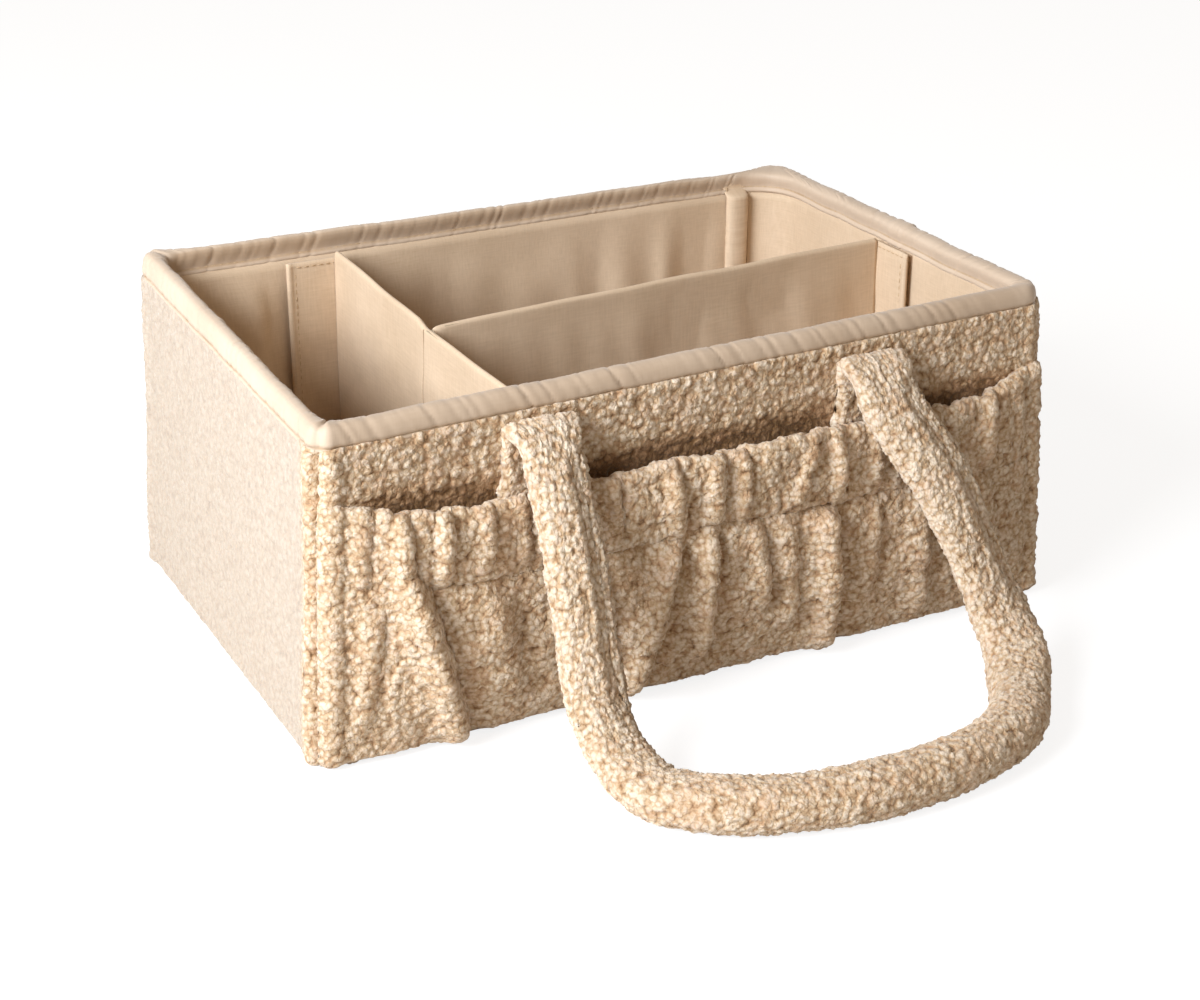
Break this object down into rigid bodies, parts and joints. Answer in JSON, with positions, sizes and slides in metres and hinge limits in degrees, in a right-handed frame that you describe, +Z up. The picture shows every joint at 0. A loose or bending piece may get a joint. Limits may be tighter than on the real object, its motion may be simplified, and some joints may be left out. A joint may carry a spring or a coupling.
{
  "type": "fabric storage basket",
  "caption": "Rectangular fleece-covered storage basket with a bound rim, a lift-out T-shaped divider, an elasticated pocket on each long side and padded loop handles.",
  "frame": {"origin": "on the floor, at the middle of the basket's base", "axes": "+X to the basket's right along its long side, -Y to its front, +Z up"},
  "size_m": [0.39, 0.5814, 0.17],
  "materials": {
    "fleece": "curly teddy fleece",
    "lining": "plain woven polyester",
    "binding": "ribbed grosgrain tape",
    "canvas": "coated canvas",
    "hook_tape": "hook tape",
    "loop_tape": "loop tape",
    "elastic": "knitted elastic",
    "wadding": "polyester wadding",
    "stiff_board": "uncoated board"
  },
  "bodies": {
    "basket": {"base_cover": "canvas", "base_board": "stiff_board", "floor_lining": "lining", "front_fleece": "fleece", "front_board": "stiff_board", "front_lining": "lining", "right_fleece": "fleece", "right_board": "stiff_board", "right_lining": "lining", "back_fleece": "fleece", "back_board": "stiff_board", "back_lining": "lining", "left_fleece": "fleece", "left_board": "stiff_board", "left_lining": "lining", "rim_binding": "binding", "lining_seam_binding": "binding", "back_loop_strip": "loop_tape", "front_loop_strip": "loop_tape", "right_loop_strip": "loop_tape", "front_pocket": "fleece", "front_pocket_elastic": "elastic", "back_pocket": "fleece", "back_pocket_elastic": "elastic", "front_left_strap_end": "fleece", "front_right_strap_end": "fleece", "back_left_strap_end": "fleece", "back_right_strap_end": "fleece"},
    "divider": {"cross_divider_cover": "lining", "cross_divider_rear_board": "stiff_board", "cross_divider_front_board": "stiff_board", "cross_divider_rear_tab": "lining", "cross_divider_front_tab": "lining", "cross_divider_rear_hook_strip": "hook_tape", "cross_divider_front_hook_strip": "hook_tape"},
    "divider_flap": {"long_divider_cover": "lining", "long_divider_board": "stiff_board", "long_divider_tab": "lining", "long_divider_hook_strip": "hook_tape"},
    "front_handle": {"front_handle_cover": "fleece", "front_handle_core": "wadding"},
    "back_handle": {"back_handle_cover": "fleece", "back_handle_core": "wadding"}
  },
  "joints": [
    {"name": "front_handle_swing", "type": "hinge", "parent": "basket", "child": "front_handle", "pos_m": [0, -0.1328, 0.146], "axis": [-1, 0, 0], "range_deg": [0, 130]},
    {"name": "back_handle_swing", "type": "hinge", "parent": "basket", "child": "back_handle", "pos_m": [0, 0.1328, 0.146], "axis": [1, 0, 0], "range_deg": [0, 130]},
    {"name": "divider_lift", "type": "slide", "parent": "basket", "child": "divider", "axis": [0, 0, 1], "range_m": [0, 0.18]},
    {"name": "divider_flap_swing", "type": "hinge", "parent": "divider", "child": "divider_flap", "pos_m": [-0.08915, -0.014, 0.08], "axis": [0, 0, 1], "range_deg": [-18, 22]}
  ]
}
